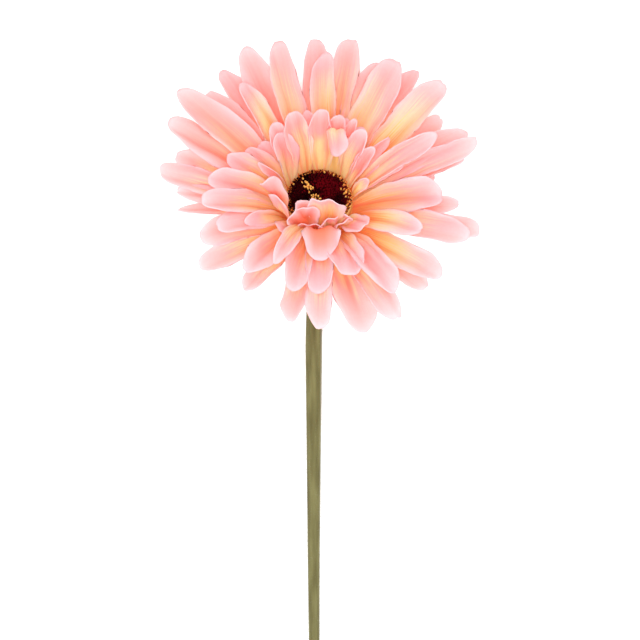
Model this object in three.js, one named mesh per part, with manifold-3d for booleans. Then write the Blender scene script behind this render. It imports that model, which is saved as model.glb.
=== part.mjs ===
// A cut gerbera that lies on a surface: a bare stem along Y, cut off at its -Y end, and at +Y one bloom
// that is propped up on two of its own petals and faces up and a little away from the stem.
// Millimetres and degrees, +Z up. The origin is under the middle of the whole flower, on the surface.
import * as THREE from "three";
import { mergeVertices } from "three/addons/utils/BufferGeometryUtils.js";
import Module from "manifold-3d";

const wasm = await Module();
wasm.setup();

// ---- Driving dimensions ----

const OVERALL_LENGTH = 450;
const HEAD_TILT = 30; // between the bloom's axis and the vertical
const CLEARANCE = 0.3; // between neighbouring pieces
const PETAL_THICKNESS = 0.7;

// Heights along the bloom's own axis, from the plane of the disc's rim.
const DISC = {
  radius: 11.3,
  dome: 3.4,
  rim: 0.3, // height of its slanting edge
  rimInset: 0.4, // how far that edge slants in to its underside
  bottom: -0.1,
  florets: 75,
  floretMargin: 0.7, // between the outermost florets' middles and the edge
  floretRadius: 1,
  floretHeight: 1.3,
  floretClearance: 0.15, // of the outermost florets' roots above the plane of the rim
  floretLean: 0.35, // radians, at the rim
};
const INNER_BASE = { top: -0.4, bottom: -3, topRadius: 12.6, bottomRadius: 12.2 };
const MIDDLE_BASE = { top: -3.3, bottom: -6, topRadius: 13.2, bottomRadius: 12.4 };
const OUTER_BASE = { top: -6.3, bottom: -9.4, topRadius: 14, bottomRadius: 13.2 };
const CUP = {
  top: -9.7,
  bottom: -17,
  topRadius: 13.4,
  bottomRadius: 3.2,
  bracts: 16,
  bractSpread: 0.17, // radians, half of one bract
  longBract: 1.08, // of the cup's height
  shortBract: 0.84,
  bractRise: 0.7, // how far a bract's face stands out from the cup along its middle
  bractCrown: 0.3, // how much less at its edges
  bractSunk: 1.2, // how far its back lies inside the cup
  faceFlare: 7, // how fast a long bract's face leans out past the rim
  backFlare: 22, // and its back, so that its tip is thin
};

const STEM = {
  neckRadius: 3,
  shoulder: 50, // as far as which it stays as thick as its neck
  slimRadius: 1.75, // from slimLength on
  slimLength: 190,
  thinning: 1.4, // how soon it loses its thickness between the two
  neckBend: 12, // radius of the bend under the bloom
  neckRise: 0.5, // how far the stem clears the surface just past the bend
  swingLength: 45, // over which the neck swings sideways
  offset: -1.9, // sideways, past that swing
  bowStart: 105,
  bow: 14, // how strongly it curves back from there on
  sides: 12,
  rings: 20,
};

// A row's petals leave its base at the given radius and height. Their slope runs from startSlope to
// endSlope, with more of each on the side away from the stem; a high bend keeps the curl for the tip.
const ROWS = {
  outerLower: { radius: 12.4, height: -8.2, startSlope: [26, 3], endSlope: [12, 6], bend: 0.9 },
  outerUpper: { radius: 12.4, height: -7.2, startSlope: [34, 4], endSlope: [14, 7], bend: 0.9 },
  middle: { radius: 12.4, height: -4.8, startSlope: [50, 6], endSlope: [14, 10], bend: 1 },
  inner: { radius: 11.9, height: -1.5, startSlope: [72, 0], endSlope: [45, 0], bend: 1.5 },
};
const ROOT_DEPTH = 1.2; // how far a petal's root reaches into its base
const ROOT_WIDTH = 0.42; // of the full width
const CREASE_RADIUS = 1.6;
const STATIONS = [0, 0.25, 0.5, 0.74, 0.91, 0.985];
const MIDRIB_STEPS = 60;

// A petal's shape: lift raises all of it, curl only turns its tip up, or down where negative, twist turns
// its face about its length, and swerve turns all of it sideways at its root. cup is how far its edges
// stand up, of its half width, widest says where along its length it is widest, and taper how blunt its
// tip is. A crease is a line across it at a place along it, slanted from there, past which the rest is bent
// by an angle towards the petal's face, or away from it where negative.
const PLAIN = { lift: 0, curl: 0, twist: 0, swerve: 0, cup: 0.3, widest: 0.66, taper: 2.8, crease: null };

// Each petal: where it points, counterclockwise from +X, its length, its width and what isn't plain about it.
const petal = (azimuth, length, width, shape = {}) => ({ azimuth, length, width, ...PLAIN, ...shape });

const OUTER_LOWER_PETALS = [
  petal(11, 31, 8.5),
  petal(16, 43, 7.5, { twist: 20 }),
  petal(34, 43, 9, { twist: 15 }),
  petal(57, 51, 10, { lift: -10.7, twist: -10 }),
  petal(68, 46, 11),
  petal(79.5, 53, 10, { twist: 4 }),
  petal(91.5, 52, 8.6),
  petal(116, 53, 11, { twist: -8 }),
  petal(123, 51, 9, { lift: -11 }),
  petal(164, 43, 10, { twist: -10 }),
  petal(173, 48, 9.5, { twist: -20 }),
  petal(180, 40, 7.5),
  petal(188, 40, 6, { twist: 30 }),
  petal(215, 41, 9, { twist: -25 }),
  petal(258, 41, 9),
  petal(286, 48, 12.2),
  petal(315, 43, 9),
  petal(343, 50, 9.5, { twist: 10 }),
  petal(355, 39, 7, { twist: 35 }),
];

const OUTER_UPPER_PETALS = [
  petal(15, 51, 8, { twist: 35 }),
  petal(21, 48, 9.5, { twist: 20 }),
  petal(41, 52, 11, { twist: 12 }),
  petal(60, 49, 12.5),
  petal(88, 45, 9),
  petal(106, 51, 9.5),
  petal(124, 42, 8, { twist: 20 }),
  petal(145, 54, 12.5, { twist: -10 }),
  petal(157, 50.5, 10.5, { twist: -10 }),
  petal(204, 36, 10.5, { twist: -20 }),
  petal(238, 38, 8.5, { twist: 10 }),
  petal(270, 48, 9.4),
  petal(297, 51, 9.8),
  petal(319, 47, 10.5, { twist: 10 }),
  petal(339, 48, 11, { twist: 10 }),
  petal(136, 46, 9.5, { lift: -7 }),
];

const MIDDLE_PETALS = [
  petal(17, 27, 4.6, { twist: 40, taper: 2.2 }),
  petal(21, 40, 7.5, { twist: 45, taper: 2.2 }),
  petal(37, 25, 4.5, { lift: 4, twist: 75 }),
  petal(56, 22, 7, { lift: 6 }),
  petal(72, 23, 7.5, { lift: 6 }),
  petal(99, 24.5, 5.5, { lift: 6 }),
  petal(138, 20, 7, { twist: -20 }),
  petal(148, 22, 7, { twist: -50 }),
  petal(160, 27, 7.5, { twist: -45 }),
  petal(178, 32, 9.5, { twist: -15 }),
  petal(192, 35, 9.5, { twist: -10 }),
  petal(206, 32, 9, { twist: -5 }),
  petal(208, 22, 5.5, { lift: 8, twist: -50, taper: 2 }),
  petal(227, 12, 9, { lift: 22, cup: 0.1 }),
  petal(235, 35, 10.5),
  petal(257, 33.5, 9, { lift: -4 }),
  petal(270, 31.5, 9.4, { lift: -5 }),
  petal(296, 28, 12, { lift: 3, swerve: -12, taper: 2.2 }),
  petal(301.5, 43, 10.6, { lift: -3 }),
  petal(332, 33, 8.6, { twist: 15 }),
  petal(357, 33.5, 12, { lift: -11, curl: 2, twist: 10 }),
];

const INNER_PETALS = [
  petal(10, 11.5, 4, { curl: -5, twist: 60, taper: 2 }),
  petal(30, 21.5, 5.2, { lift: -2, curl: 5, twist: 40, cup: 0.6, taper: 2 }),
  petal(45, 24.5, 7.6, { curl: 5, twist: 10, cup: 0.5, taper: 2.2 }),
  petal(62, 33.5, 8, {
    lift: 2, curl: 15, swerve: 18, cup: 0.15, widest: 0.88, taper: 3.2,
    crease: { along: 0.61, angle: 150, slant: -15 },
  }),
  petal(54, 24.5, 5, { lift: -7, curl: 8, taper: 2 }),
  petal(72, 25.2, 8.4, { lift: -3, curl: 5, twist: -5, taper: 2.2 }),
  petal(87, 26.8, 8.8, { curl: 5, taper: 2.2 }),
  petal(112, 28, 9, { curl: 5, taper: 2.2 }),
  petal(143, 22, 9.6, { curl: 4, swerve: -30, widest: 0.5 }),
  petal(137, 25.4, 7.6, { lift: -3, curl: -12, twist: -12, swerve: -14 }),
  petal(162, 18.5, 4, { lift: -6, twist: -60, cup: 0.9, taper: 2 }),
  petal(204, 18, 9.5, { curl: 14, swerve: -38, cup: 0.6 }),
  petal(218, 16, 7, { lift: -14, curl: 10, twist: -45, swerve: -35 }),
  petal(246, 33, 5.4, { lift: -14, curl: -40, twist: -50, cup: 0.1, taper: 2 }),
  petal(224, 8.5, 6, { lift: -4, curl: 11, swerve: 60, cup: -0.05 }),
  petal(241, 12.5, 7.5, { curl: 11, swerve: 65, cup: -0.05 }),
  petal(262, 9, 11, { lift: 2, curl: 20, cup: -0.1 }),
  petal(271, 23.4, 12.5, {
    lift: -9, curl: 27, cup: 0, taper: 1.6,
    crease: { along: 0.45, angle: -66, slant: 0 },
  }),
  petal(279, 17.4, 14, { lift: 22, curl: 32, cup: -0.1 }),
  petal(294, 9.5, 12, { lift: 12, curl: 24, cup: -0.1 }),
  petal(304, 8.5, 7.5, { lift: -4, curl: 20, cup: -0.2 }),
  petal(316, 12.5, 9, { lift: -28, curl: 8, cup: 0.2 }),
];

// ---- Materials ----

const material = (name, color, roughness) =>
  Object.assign(new THREE.MeshStandardMaterial({ color, roughness, metalness: 0 }), { name });
const OUTER_PINK = material("outer petal pink", 0xffc4c0, 0.6);
const MIDDLE_PINK = material("middle petal pink", 0xffb8ac, 0.6);
const INNER_PEACH = material("inner petal peach", 0xffc896, 0.6);
const BURGUNDY = material("disc burgundy", 0x3c0612, 0.9);
const CUP_GREEN = material("involucre green", 0x6d7a3c, 0.7);
const STEM_OLIVE = material("stem olive", 0x807754, 0.75);

// ---- Solids ----

const { sin, cos, sqrt, min, max, abs, PI } = Math;
const radians = THREE.MathUtils.degToRad;

// A closed three.js geometry as a solid that can be joined to others.
function solid(geometry) {
  const bare = geometry.clone();
  bare.deleteAttribute("normal");
  bare.deleteAttribute("uv");
  const merged = mergeVertices(bare, 1e-4);
  return new wasm.Manifold(
    new wasm.Mesh({
      numProp: 3,
      vertProperties: new Float32Array(merged.getAttribute("position").array),
      triVerts: new Uint32Array(merged.index.array),
    }),
  );
}

// Every geometry of the list fused into one.
function fused(geometries) {
  const mesh = wasm.Manifold.union(geometries.map(solid)).getMesh();
  const geometry = new THREE.BufferGeometry();
  geometry.setAttribute("position", new THREE.BufferAttribute(mesh.vertProperties, 3));
  geometry.setIndex(new THREE.BufferAttribute(mesh.triVerts, 1));
  geometry.computeVertexNormals();
  return geometry;
}

// A thin closed sheet. place(across, along, side) puts each corner: across runs from -1 to 1, along is one
// of the stations, and side is 1 on the face and -1 on the back, which are split into triangles alike.
function blade(stations, place) {
  const columns = 2;
  const rows = stations.length - 1;
  const sheet = new THREE.PlaneGeometry(2, 1, columns, rows);
  const corners = sheet.getAttribute("position");
  const points = [];
  for (const side of [1, -1]) {
    for (let i = 0; i < corners.count; i++) {
      const row = Math.floor(i / (columns + 1));
      points.push(...place(corners.getX(i), stations[rows - row], side));
    }
  }

  const triangles = [];
  const faces = sheet.index.array;
  for (let i = 0; i < faces.length; i += 3) {
    const [a, b, c] = faces.slice(i, i + 3);
    triangles.push(a, b, c, c + corners.count, b + corners.count, a + corners.count);
  }
  const corner = (column, row) => row * (columns + 1) + column;
  const rim = [];
  for (let column = 0; column < columns; column++) rim.push(corner(column, rows));
  for (let row = rows; row > 0; row--) rim.push(corner(columns, row));
  for (let column = columns; column > 0; column--) rim.push(corner(column, 0));
  for (let row = 0; row < rows; row++) rim.push(corner(0, row));
  rim.forEach((a, i) => {
    const b = rim[(i + 1) % rim.length];
    triangles.push(a, a + corners.count, b + corners.count, a, b + corners.count, b);
  });

  const geometry = new THREE.BufferGeometry();
  geometry.setAttribute("position", new THREE.Float32BufferAttribute(points, 3));
  geometry.setIndex(triangles);
  return geometry;
}

// Half of a petal's width at a place along it, as a share of half its full width.
function petalOutline(along, widest, taper) {
  const body = ROOT_WIDTH + (1 - ROOT_WIDTH) * sin((PI / 2) * min(1, along / widest));
  const tip = max(0, (along - widest) / (1 - widest));
  return body * sqrt(1 - tip ** taper);
}

// Past a crease the petal rolls round a small radius and runs on straight. middle lies on the crease, line
// runs along it, past leads over it, and face is the petal's own there.
function bentOver(point, { angle, middle, line, past, face }) {
  const reach = point.clone().sub(middle).dot(past);
  if (reach <= 0) return point;
  const side = Math.sign(angle);
  const turn = min(reach / CREASE_RADIUS, radians(abs(angle)));
  const hinge = middle.clone().addScaledVector(face, side * CREASE_RADIUS);
  return point
    .addScaledVector(past, -CREASE_RADIUS * turn)
    .sub(hinge)
    .applyAxisAngle(line, side * turn)
    .add(hinge);
}

// One petal of a row, as a blade that follows its bent midrib.
function petalBlade(row, { azimuth, length, width, lift, curl, twist, swerve, cup, widest, taper, crease }) {
  const slant = sin(radians(azimuth));
  const start = row.startSlope[0] + row.startSlope[1] * slant + lift;
  const end = row.endSlope[0] + row.endSlope[1] * slant + lift + curl;
  const root = new THREE.Vector3(cos(radians(azimuth)), sin(radians(azimuth)), 0);
  const tangent = new THREE.Vector3(sin(radians(azimuth)), -cos(radians(azimuth)), 0);
  const course = radians(azimuth + swerve);
  const heading = (along) => {
    const slope = radians(start + (end - start) * along ** row.bend);
    return new THREE.Vector3(cos(course) * cos(slope), sin(course) * cos(slope), sin(slope));
  };

  // The midrib is walked in short steps from its root, which is sunk into the base.
  const midrib = (along) => {
    const place = root.clone().multiplyScalar(row.radius).setZ(row.height);
    if (along === 0) return place.addScaledVector(heading(0), -ROOT_DEPTH);
    const steps = Math.ceil(MIDRIB_STEPS * along);
    for (let step = 0.5; step < steps; step++) {
      place.addScaledVector(heading((step / steps) * along), (length * along) / steps);
    }
    return place;
  };

  // The petal's own directions at a place along it: forward, towards its right edge, and out of its face.
  const directions = (along) => {
    const forward = heading(along);
    const edgeward = tangent.clone().addScaledVector(forward, -forward.dot(tangent)).normalize();
    edgeward.applyAxisAngle(forward, radians(twist * along ** 1.2));
    return { forward, edgeward, face: new THREE.Vector3().crossVectors(edgeward, forward) };
  };

  let fold = null;
  if (crease) {
    const { forward, edgeward, face } = directions(crease.along);
    const line = edgeward.clone().applyAxisAngle(face, radians(crease.slant));
    const past = forward.clone().applyAxisAngle(face, radians(crease.slant));
    fold = { angle: crease.angle, middle: midrib(crease.along), line, past, face };
  }

  return blade(STATIONS, (across, along, side) => {
    const { edgeward, face } = directions(along);
    const halfWidth = (width / 2) * petalOutline(along, widest, taper);
    const rise = cup * halfWidth * across ** 2 * min(1, 0.2 + 2 * along) + (side * PETAL_THICKNESS) / 2;
    const point = midrib(along).addScaledVector(edgeward, across * halfWidth).addScaledVector(face, rise);
    return (fold ? bentOver(point, fold) : point).toArray();
  });
}

// A round body from its profile of [radius, height] points, turned so that its axis is Z.
function turned(profile, sides) {
  const points = profile.map(([radius, height]) => new THREE.Vector2(radius, height));
  return new THREE.LatheGeometry(points, sides).rotateX(PI / 2);
}

// The slice of the flower's base that one ring of petals grows from.
const baseSlice = ({ top, bottom, topRadius, bottomRadius }) =>
  turned([[0, bottom], [bottomRadius, bottom], [topRadius, top], [0, top]], 36);

// One ring of petals, fused to its slice of the base.
function petalRing(base, rows) {
  const petals = rows.flatMap(([row, list]) => list.map((one) => petalBlade(row, one)));
  return fused([baseSlice(base), ...petals]);
}

// The domed disc, with its florets set out in a spiral, each a stub that leans a little outward.
function discFlorets() {
  const { radius, dome, rim, rimInset, bottom, florets, floretRadius, floretHeight } = DISC;
  const height = (r) => dome * (1 - (r / radius) ** 2);
  const profile = [[0, bottom], [radius - rimInset, bottom], [radius, rim]];
  for (const share of [0.75, 0.4]) profile.push([radius * share, height(radius * share)]);
  profile.push([0, dome]);

  const goldenAngle = PI * (3 - sqrt(5));
  const stubs = [];
  for (let i = 0; i < florets; i++) {
    const r = (radius - DISC.floretMargin) * sqrt((i + 0.5) / florets);
    const lean = DISC.floretLean * (r / radius);
    const middle = max(floretHeight + DISC.floretClearance, height(r));
    const stub = new THREE.ConeGeometry(floretRadius, 2 * floretHeight, 5);
    stub.rotateX(PI / 2).rotateY(lean).rotateZ(i * goldenAngle);
    stub.translate(r * cos(i * goldenAngle), r * sin(i * goldenAngle), middle);
    stubs.push(stub);
  }
  return fused([turned(profile, 24), ...stubs]);
}

// The green cup under the bloom: a bowl, with narrow pointed bracts that lie on it and end past its rim.
function involucre() {
  const { top, bottom, topRadius, bottomRadius, bracts } = CUP;
  const depth = top - bottom;
  const bowlRadius = (share) => bottomRadius + (topRadius - bottomRadius) * sin((PI / 2) * share) ** 0.8;
  const profile = [[0, bottom], [bottomRadius, bottom]];
  for (const share of [0.15, 0.35, 0.6, 0.85]) profile.push([bowlRadius(share), bottom + depth * share]);
  profile.push([topRadius, top], [0, top]);

  const leaves = [];
  for (let i = 0; i < bracts; i++) {
    const angle = (2 * PI * i) / bracts;
    const length = i % 2 ? CUP.shortBract : CUP.longBract;
    leaves.push(
      blade([0.1, 0.4, 0.7, 1], (across, along, side) => {
        const share = along * length;
        const past = max(0, share - 1);
        const front = CUP.bractRise - CUP.bractCrown * across ** 2 + CUP.faceFlare * past;
        const back = CUP.backFlare * past - CUP.bractSunk;
        const out = bowlRadius(min(1, share)) + (side > 0 ? front : back);
        const spread = angle + across * CUP.bractSpread * sin(PI * (0.25 + 0.65 * along)) ** 0.7;
        return [out * cos(spread), out * sin(spread), bottom + depth * share];
      }),
    );
  }
  return fused([turned(profile, 32), ...leaves]);
}

// The stem's midline: it follows the bloom's axis out of the cup, bends to the horizontal just above the
// surface, and runs along -Y to its cut end, which touches the surface.
function stemMidline(floor, farEnd) {
  const axis = new THREE.Vector3(0, sin(radians(HEAD_TILT)), cos(radians(HEAD_TILT)));
  const top = axis.clone().multiplyScalar(CUP.bottom - CLEARANCE);
  const turn = PI / 2 - radians(HEAD_TILT);
  const bendDrop = STEM.neckBend * (1 - cos(turn));
  const lowHeight = floor + STEM.neckRadius + STEM.neckRise;
  const straight = (top.z - bendDrop - lowHeight) / axis.z;
  const bendStart = top.clone().addScaledVector(axis, -straight);
  const bendLength = STEM.neckBend * turn;
  const runStart = bendStart.y - STEM.neckBend * sin(turn);
  const neckLength = straight + bendLength;
  const length = neckLength + runStart - farEnd;

  const sideways = (distance) => {
    const swing = THREE.MathUtils.smoothstep(distance, 0, STEM.swingLength);
    return STEM.offset * swing + STEM.bow * max(0, (distance - STEM.bowStart) / length) ** 2;
  };
  const point = (distance) => {
    const x = sideways(distance);
    if (distance < straight) return top.clone().addScaledVector(axis, -distance).setX(x);
    if (distance < neckLength) {
      const angle = (distance - straight) / STEM.neckBend;
      const reach = STEM.neckBend * (sin(turn) - sin(turn - angle));
      const drop = STEM.neckBend * (cos(turn - angle) - cos(turn));
      return new THREE.Vector3(x, bendStart.y - reach, bendStart.z - drop);
    }
    const share = (distance - neckLength) / (length - neckLength);
    const height = floor + stemRadius(distance) + STEM.neckRise * (1 - share);
    return new THREE.Vector3(x, runStart - (distance - neckLength), height);
  };
  return { point, length };
}

function stemRadius(distance) {
  const share = min(1, max(0, distance - STEM.shoulder) / (STEM.slimLength - STEM.shoulder));
  return STEM.slimRadius + (STEM.neckRadius - STEM.slimRadius) * (1 - share) ** STEM.thinning;
}

// The stem: a cylinder whose rings are moved onto the midline, closer together at the bend.
function stem(floor, farEnd) {
  const { point, length } = stemMidline(floor, farEnd);
  const geometry = new THREE.CylinderGeometry(1, 1, 1, STEM.sides, STEM.rings);
  const corners = geometry.getAttribute("position");
  for (let i = 0; i < corners.count; i++) {
    const distance = length * (0.5 - corners.getY(i)) ** 2;
    const before = point(max(0, distance - 0.5));
    const forward = point(min(length, distance + 0.5)).sub(before).normalize();
    const side = new THREE.Vector3(1, 0, 0).addScaledVector(forward, -forward.x).normalize();
    const up = new THREE.Vector3().crossVectors(forward, side);
    const radius = stemRadius(distance);
    const corner = point(distance)
      .addScaledVector(side, radius * corners.getX(i))
      .addScaledVector(up, radius * corners.getZ(i));
    corners.setXYZ(i, corner.x, corner.y, corner.z);
  }
  return geometry;
}

// ---- The flower ----

function piece(name, geometry, itsMaterial) {
  const mesh = new THREE.Mesh(geometry, itsMaterial);
  mesh.name = name;
  return mesh;
}

const bloom = new THREE.Group();
bloom.rotation.x = -radians(HEAD_TILT);
const outerPetals = petalRing(OUTER_BASE, [
  [ROWS.outerLower, OUTER_LOWER_PETALS],
  [ROWS.outerUpper, OUTER_UPPER_PETALS],
]);
bloom.add(
  piece("disc_florets", discFlorets(), BURGUNDY),
  piece("inner_ray_petals", petalRing(INNER_BASE, [[ROWS.inner, INNER_PETALS]]), INNER_PEACH),
  piece("middle_ray_petals", petalRing(MIDDLE_BASE, [[ROWS.middle, MIDDLE_PETALS]]), MIDDLE_PINK),
  piece("outer_ray_petals", outerPetals, OUTER_PINK),
  piece("involucre", involucre(), CUP_GREEN),
);

// The surface is where the lowest two petals reach, and the stem is as long as the overall length leaves.
const flower = new THREE.Group();
flower.add(bloom);
const bloomBox = new THREE.Box3().setFromObject(bloom, true);
flower.add(piece("stem", stem(bloomBox.min.z, bloomBox.max.y - OVERALL_LENGTH), STEM_OLIVE));

const wholeBox = new THREE.Box3().setFromObject(flower, true);
const middle = wholeBox.getCenter(new THREE.Vector3());
flower.position.set(-middle.x, -middle.y, -wholeBox.min.z);

const gerbera = new THREE.Group();
gerbera.add(flower);
export default gerbera;
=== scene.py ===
"""A cut gerbera lying on a pale floor, seen from straight above its bloom.

The bloom is dressed ring by ring: every petal is a fine curved sheet laid out by the same rule as the solid
that it stands for, and the disc, the green cup and the stem get their florets, bracts and down.
Lengths are in millimetres until a mesh is finished, angles are in degrees, and colours are screen values
of 0 to 255, unless a docstring says otherwise.
"""

import logging
import math
from collections.abc import Iterable, Iterator, Sequence
from dataclasses import dataclass, field, fields
from enum import Enum

import bmesh
import bpy
from mathutils import Matrix, Vector


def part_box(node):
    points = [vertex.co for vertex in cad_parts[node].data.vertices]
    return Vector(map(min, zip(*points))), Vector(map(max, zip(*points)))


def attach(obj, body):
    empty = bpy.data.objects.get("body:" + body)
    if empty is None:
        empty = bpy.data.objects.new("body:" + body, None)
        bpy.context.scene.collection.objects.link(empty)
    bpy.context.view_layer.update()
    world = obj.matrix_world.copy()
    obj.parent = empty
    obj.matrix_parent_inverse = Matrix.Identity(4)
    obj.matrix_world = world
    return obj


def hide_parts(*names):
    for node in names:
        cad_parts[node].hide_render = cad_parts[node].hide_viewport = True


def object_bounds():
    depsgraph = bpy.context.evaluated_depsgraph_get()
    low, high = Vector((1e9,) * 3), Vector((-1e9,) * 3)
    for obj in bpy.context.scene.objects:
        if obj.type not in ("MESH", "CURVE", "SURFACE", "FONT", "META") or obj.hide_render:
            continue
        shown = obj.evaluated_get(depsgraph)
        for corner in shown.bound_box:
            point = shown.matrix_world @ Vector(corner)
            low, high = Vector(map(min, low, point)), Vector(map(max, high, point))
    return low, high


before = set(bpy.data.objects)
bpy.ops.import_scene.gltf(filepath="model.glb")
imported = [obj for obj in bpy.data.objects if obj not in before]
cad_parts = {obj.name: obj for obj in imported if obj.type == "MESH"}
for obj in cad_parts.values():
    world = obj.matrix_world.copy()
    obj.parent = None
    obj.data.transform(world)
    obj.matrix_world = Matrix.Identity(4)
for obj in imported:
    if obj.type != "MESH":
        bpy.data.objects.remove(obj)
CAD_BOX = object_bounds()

LOG = logging.getLogger("gerbera")

Rgb = tuple[int, int, int]
Socket = bpy.types.NodeSocket
Mesh = bmesh.types.BMesh
Layers = dict[str, bmesh.types.BMLayerItem]
Piece = bpy.types.Object

MM = 0.001
FULL_TURN = 2 * math.pi

# The photograph's width and the disc's middle in it, in its own pixels, and what one of them measures.
PHOTO_WIDTH = 640
DISC_PIXEL = (319, 199)
MM_PER_PIXEL = 0.352

# The bloom's axis from the vertical, the stem's top along that axis, and its radius there.
HEAD_TILT = 30.0
STALK_TOP = -17.3
NECK_RADIUS = 3.0


class Draws:
    """A seeded stream of numbers that is the same in every run."""

    MULTIPLIER = 48271
    MODULUS = 2147483647

    def __init__(self, seed: int) -> None:
        """Start the stream from any whole number above zero."""
        self.state = seed

    def between(self, low: float, high: float) -> float:
        """Draw the next number between two limits."""
        self.state = self.state * self.MULTIPLIER % self.MODULUS
        return low + (high - low) * self.state / self.MODULUS


def cosd(angle: float) -> float:
    """Cosine of an angle in degrees."""
    return math.cos(math.radians(angle))


def sind(angle: float) -> float:
    """Sine of an angle in degrees."""
    return math.sin(math.radians(angle))


def towards(azimuth: float, elevation: float) -> Vector:
    """Find the direction, of length 1, at an azimuth and an elevation."""
    return Vector((cosd(azimuth) * cosd(elevation), sind(azimuth) * cosd(elevation), sind(elevation)))


def smooth(low: float, high: float, value: float) -> float:
    """Ease from 0 at low to 1 at high."""
    share = min(1.0, max(0.0, (value - low) / (high - low)))
    return share * share * (3 - 2 * share)


def eased(value: float, low: float, high: float, soft: float) -> float:
    """Keep a number between two limits.

    Args:
        value: The number.
        low: The lower limit.
        high: The upper limit.
        soft: How far before each limit the number starts to ease off.

    Returns:
        The number, which never passes a limit.
    """
    if value > high - soft:
        return high - soft * math.exp((high - soft - value) / soft)
    if value < low + soft:
        return low + soft * math.exp((value - low - soft) / soft)
    return value


def linear(colour: Rgb) -> tuple[float, ...]:
    """Turn a screen colour into Blender's linear colour."""
    shares = (channel / 255 for channel in colour)
    return (*(s / 12.92 if s <= 0.04 else ((s + 0.055) / 1.055) ** 2.4 for s in shares), 1.0)


def bloom_matrix() -> Matrix:
    """Find the bloom's own frame from the stem's and the cup's boxes.

    Returns:
        The matrix from the bloom's own millimetres to the part's. The bloom's Z is its axis, and its origin
        is the middle of the disc's rim.
    """
    stem_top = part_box("stem")[1] / MM
    cup_low, cup_high = (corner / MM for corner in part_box("involucre"))
    origin = Vector(
        (
            (cup_low.x + cup_high.x) / 2,
            stem_top.y - STALK_TOP * sind(HEAD_TILT) - NECK_RADIUS * cosd(HEAD_TILT),
            stem_top.z - STALK_TOP * cosd(HEAD_TILT) - NECK_RADIUS * sind(HEAD_TILT),
        )
    )
    return Matrix.Translation(origin) @ Matrix.Rotation(math.radians(-HEAD_TILT), 4, "X")


# ---- Node materials ----


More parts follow.
